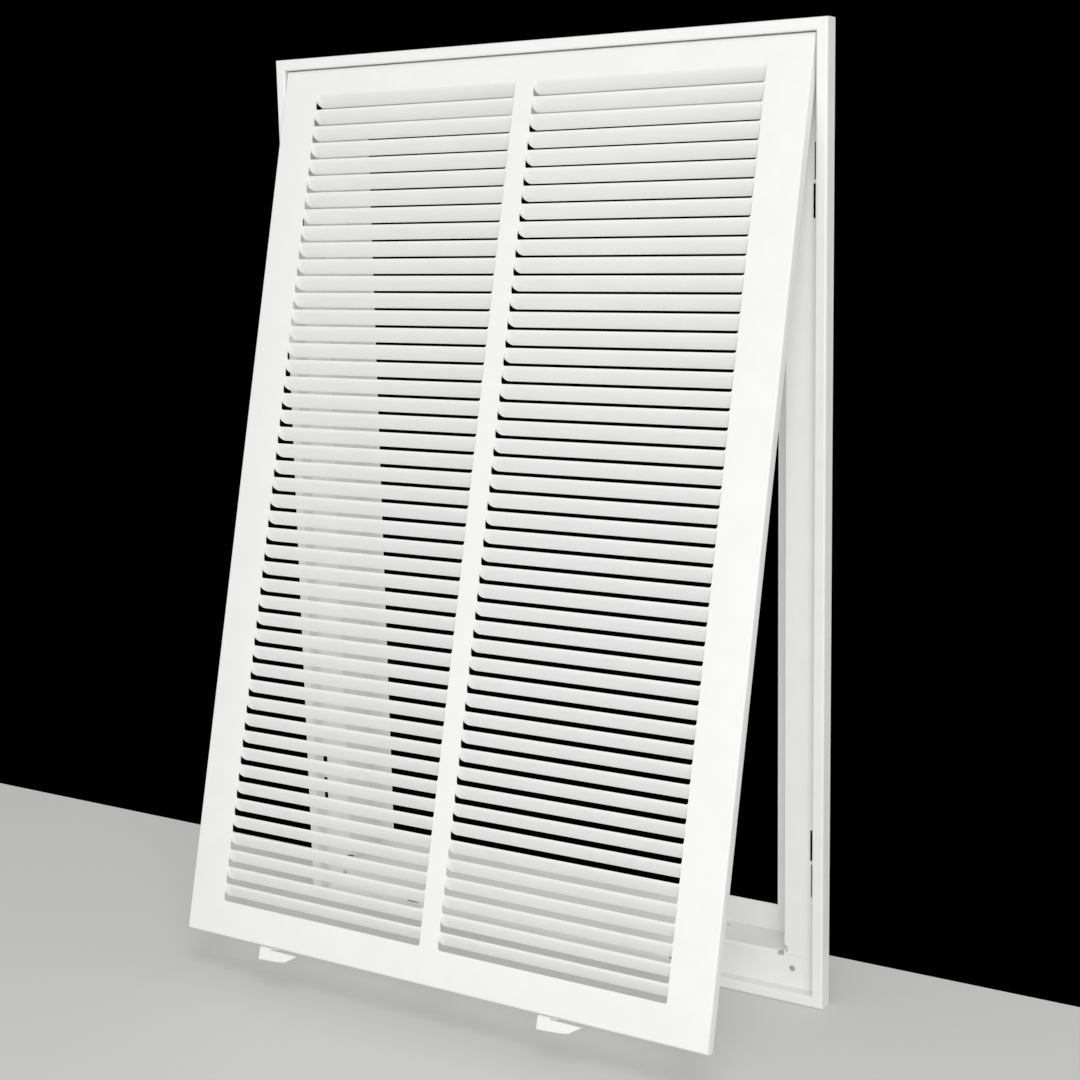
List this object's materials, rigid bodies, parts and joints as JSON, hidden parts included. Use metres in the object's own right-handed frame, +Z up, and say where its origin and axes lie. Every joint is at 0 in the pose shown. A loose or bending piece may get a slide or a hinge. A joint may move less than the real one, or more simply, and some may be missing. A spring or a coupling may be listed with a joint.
{
  "type": "return air filter grille",
  "caption": "Wall or ceiling return air grille: a flanged steel frame that holds a panel filter behind a top-hinged louvred door with sliding latches.",
  "frame": {"origin": "middle of the four screw holes, on the back face of the frame's recessed floor", "axes": "+X across the face to the right, +Z up the face, +Y into the wall; the face looks along -Y"},
  "size_m": [0.4732, 0.2166, 0.7016],
  "materials": {
    "frame_paint": "white semi-gloss powder coat",
    "door_paint": "white semi-gloss powder coat",
    "latch_paint": "white semi-gloss powder coat",
    "pin_steel": "zinc-plated steel"
  },
  "bodies": {
    "frame": {"frame_rail_top": "frame_paint", "frame_rail_bottom": "frame_paint", "frame_rail_left": "frame_paint", "frame_rail_right": "frame_paint"},
    "door": {"louvre_door": "door_paint", "hinge_pin_left": "pin_steel", "hinge_pin_right": "pin_steel", "latch_rivet_left": "pin_steel", "latch_rivet_right": "pin_steel"},
    "latch_left": {"latch_left": "latch_paint"},
    "latch_right": {"latch_right": "latch_paint"}
  },
  "joints": [
    {"name": "door_hinge", "type": "hinge", "parent": "frame", "child": "door", "pos_m": [0, -0.0053, 0.33715], "axis": [-1, 0, 0], "range_deg": [-14.3, 75.7]},
    {"name": "latch_left_slide", "type": "slide", "parent": "door", "child": "latch_left", "axis": [1, 0, 0], "range_m": [0, 0.006]},
    {"name": "latch_right_slide", "type": "slide", "parent": "door", "child": "latch_right", "axis": [1, 0, 0], "range_m": [0, 0.006]}
  ]
}
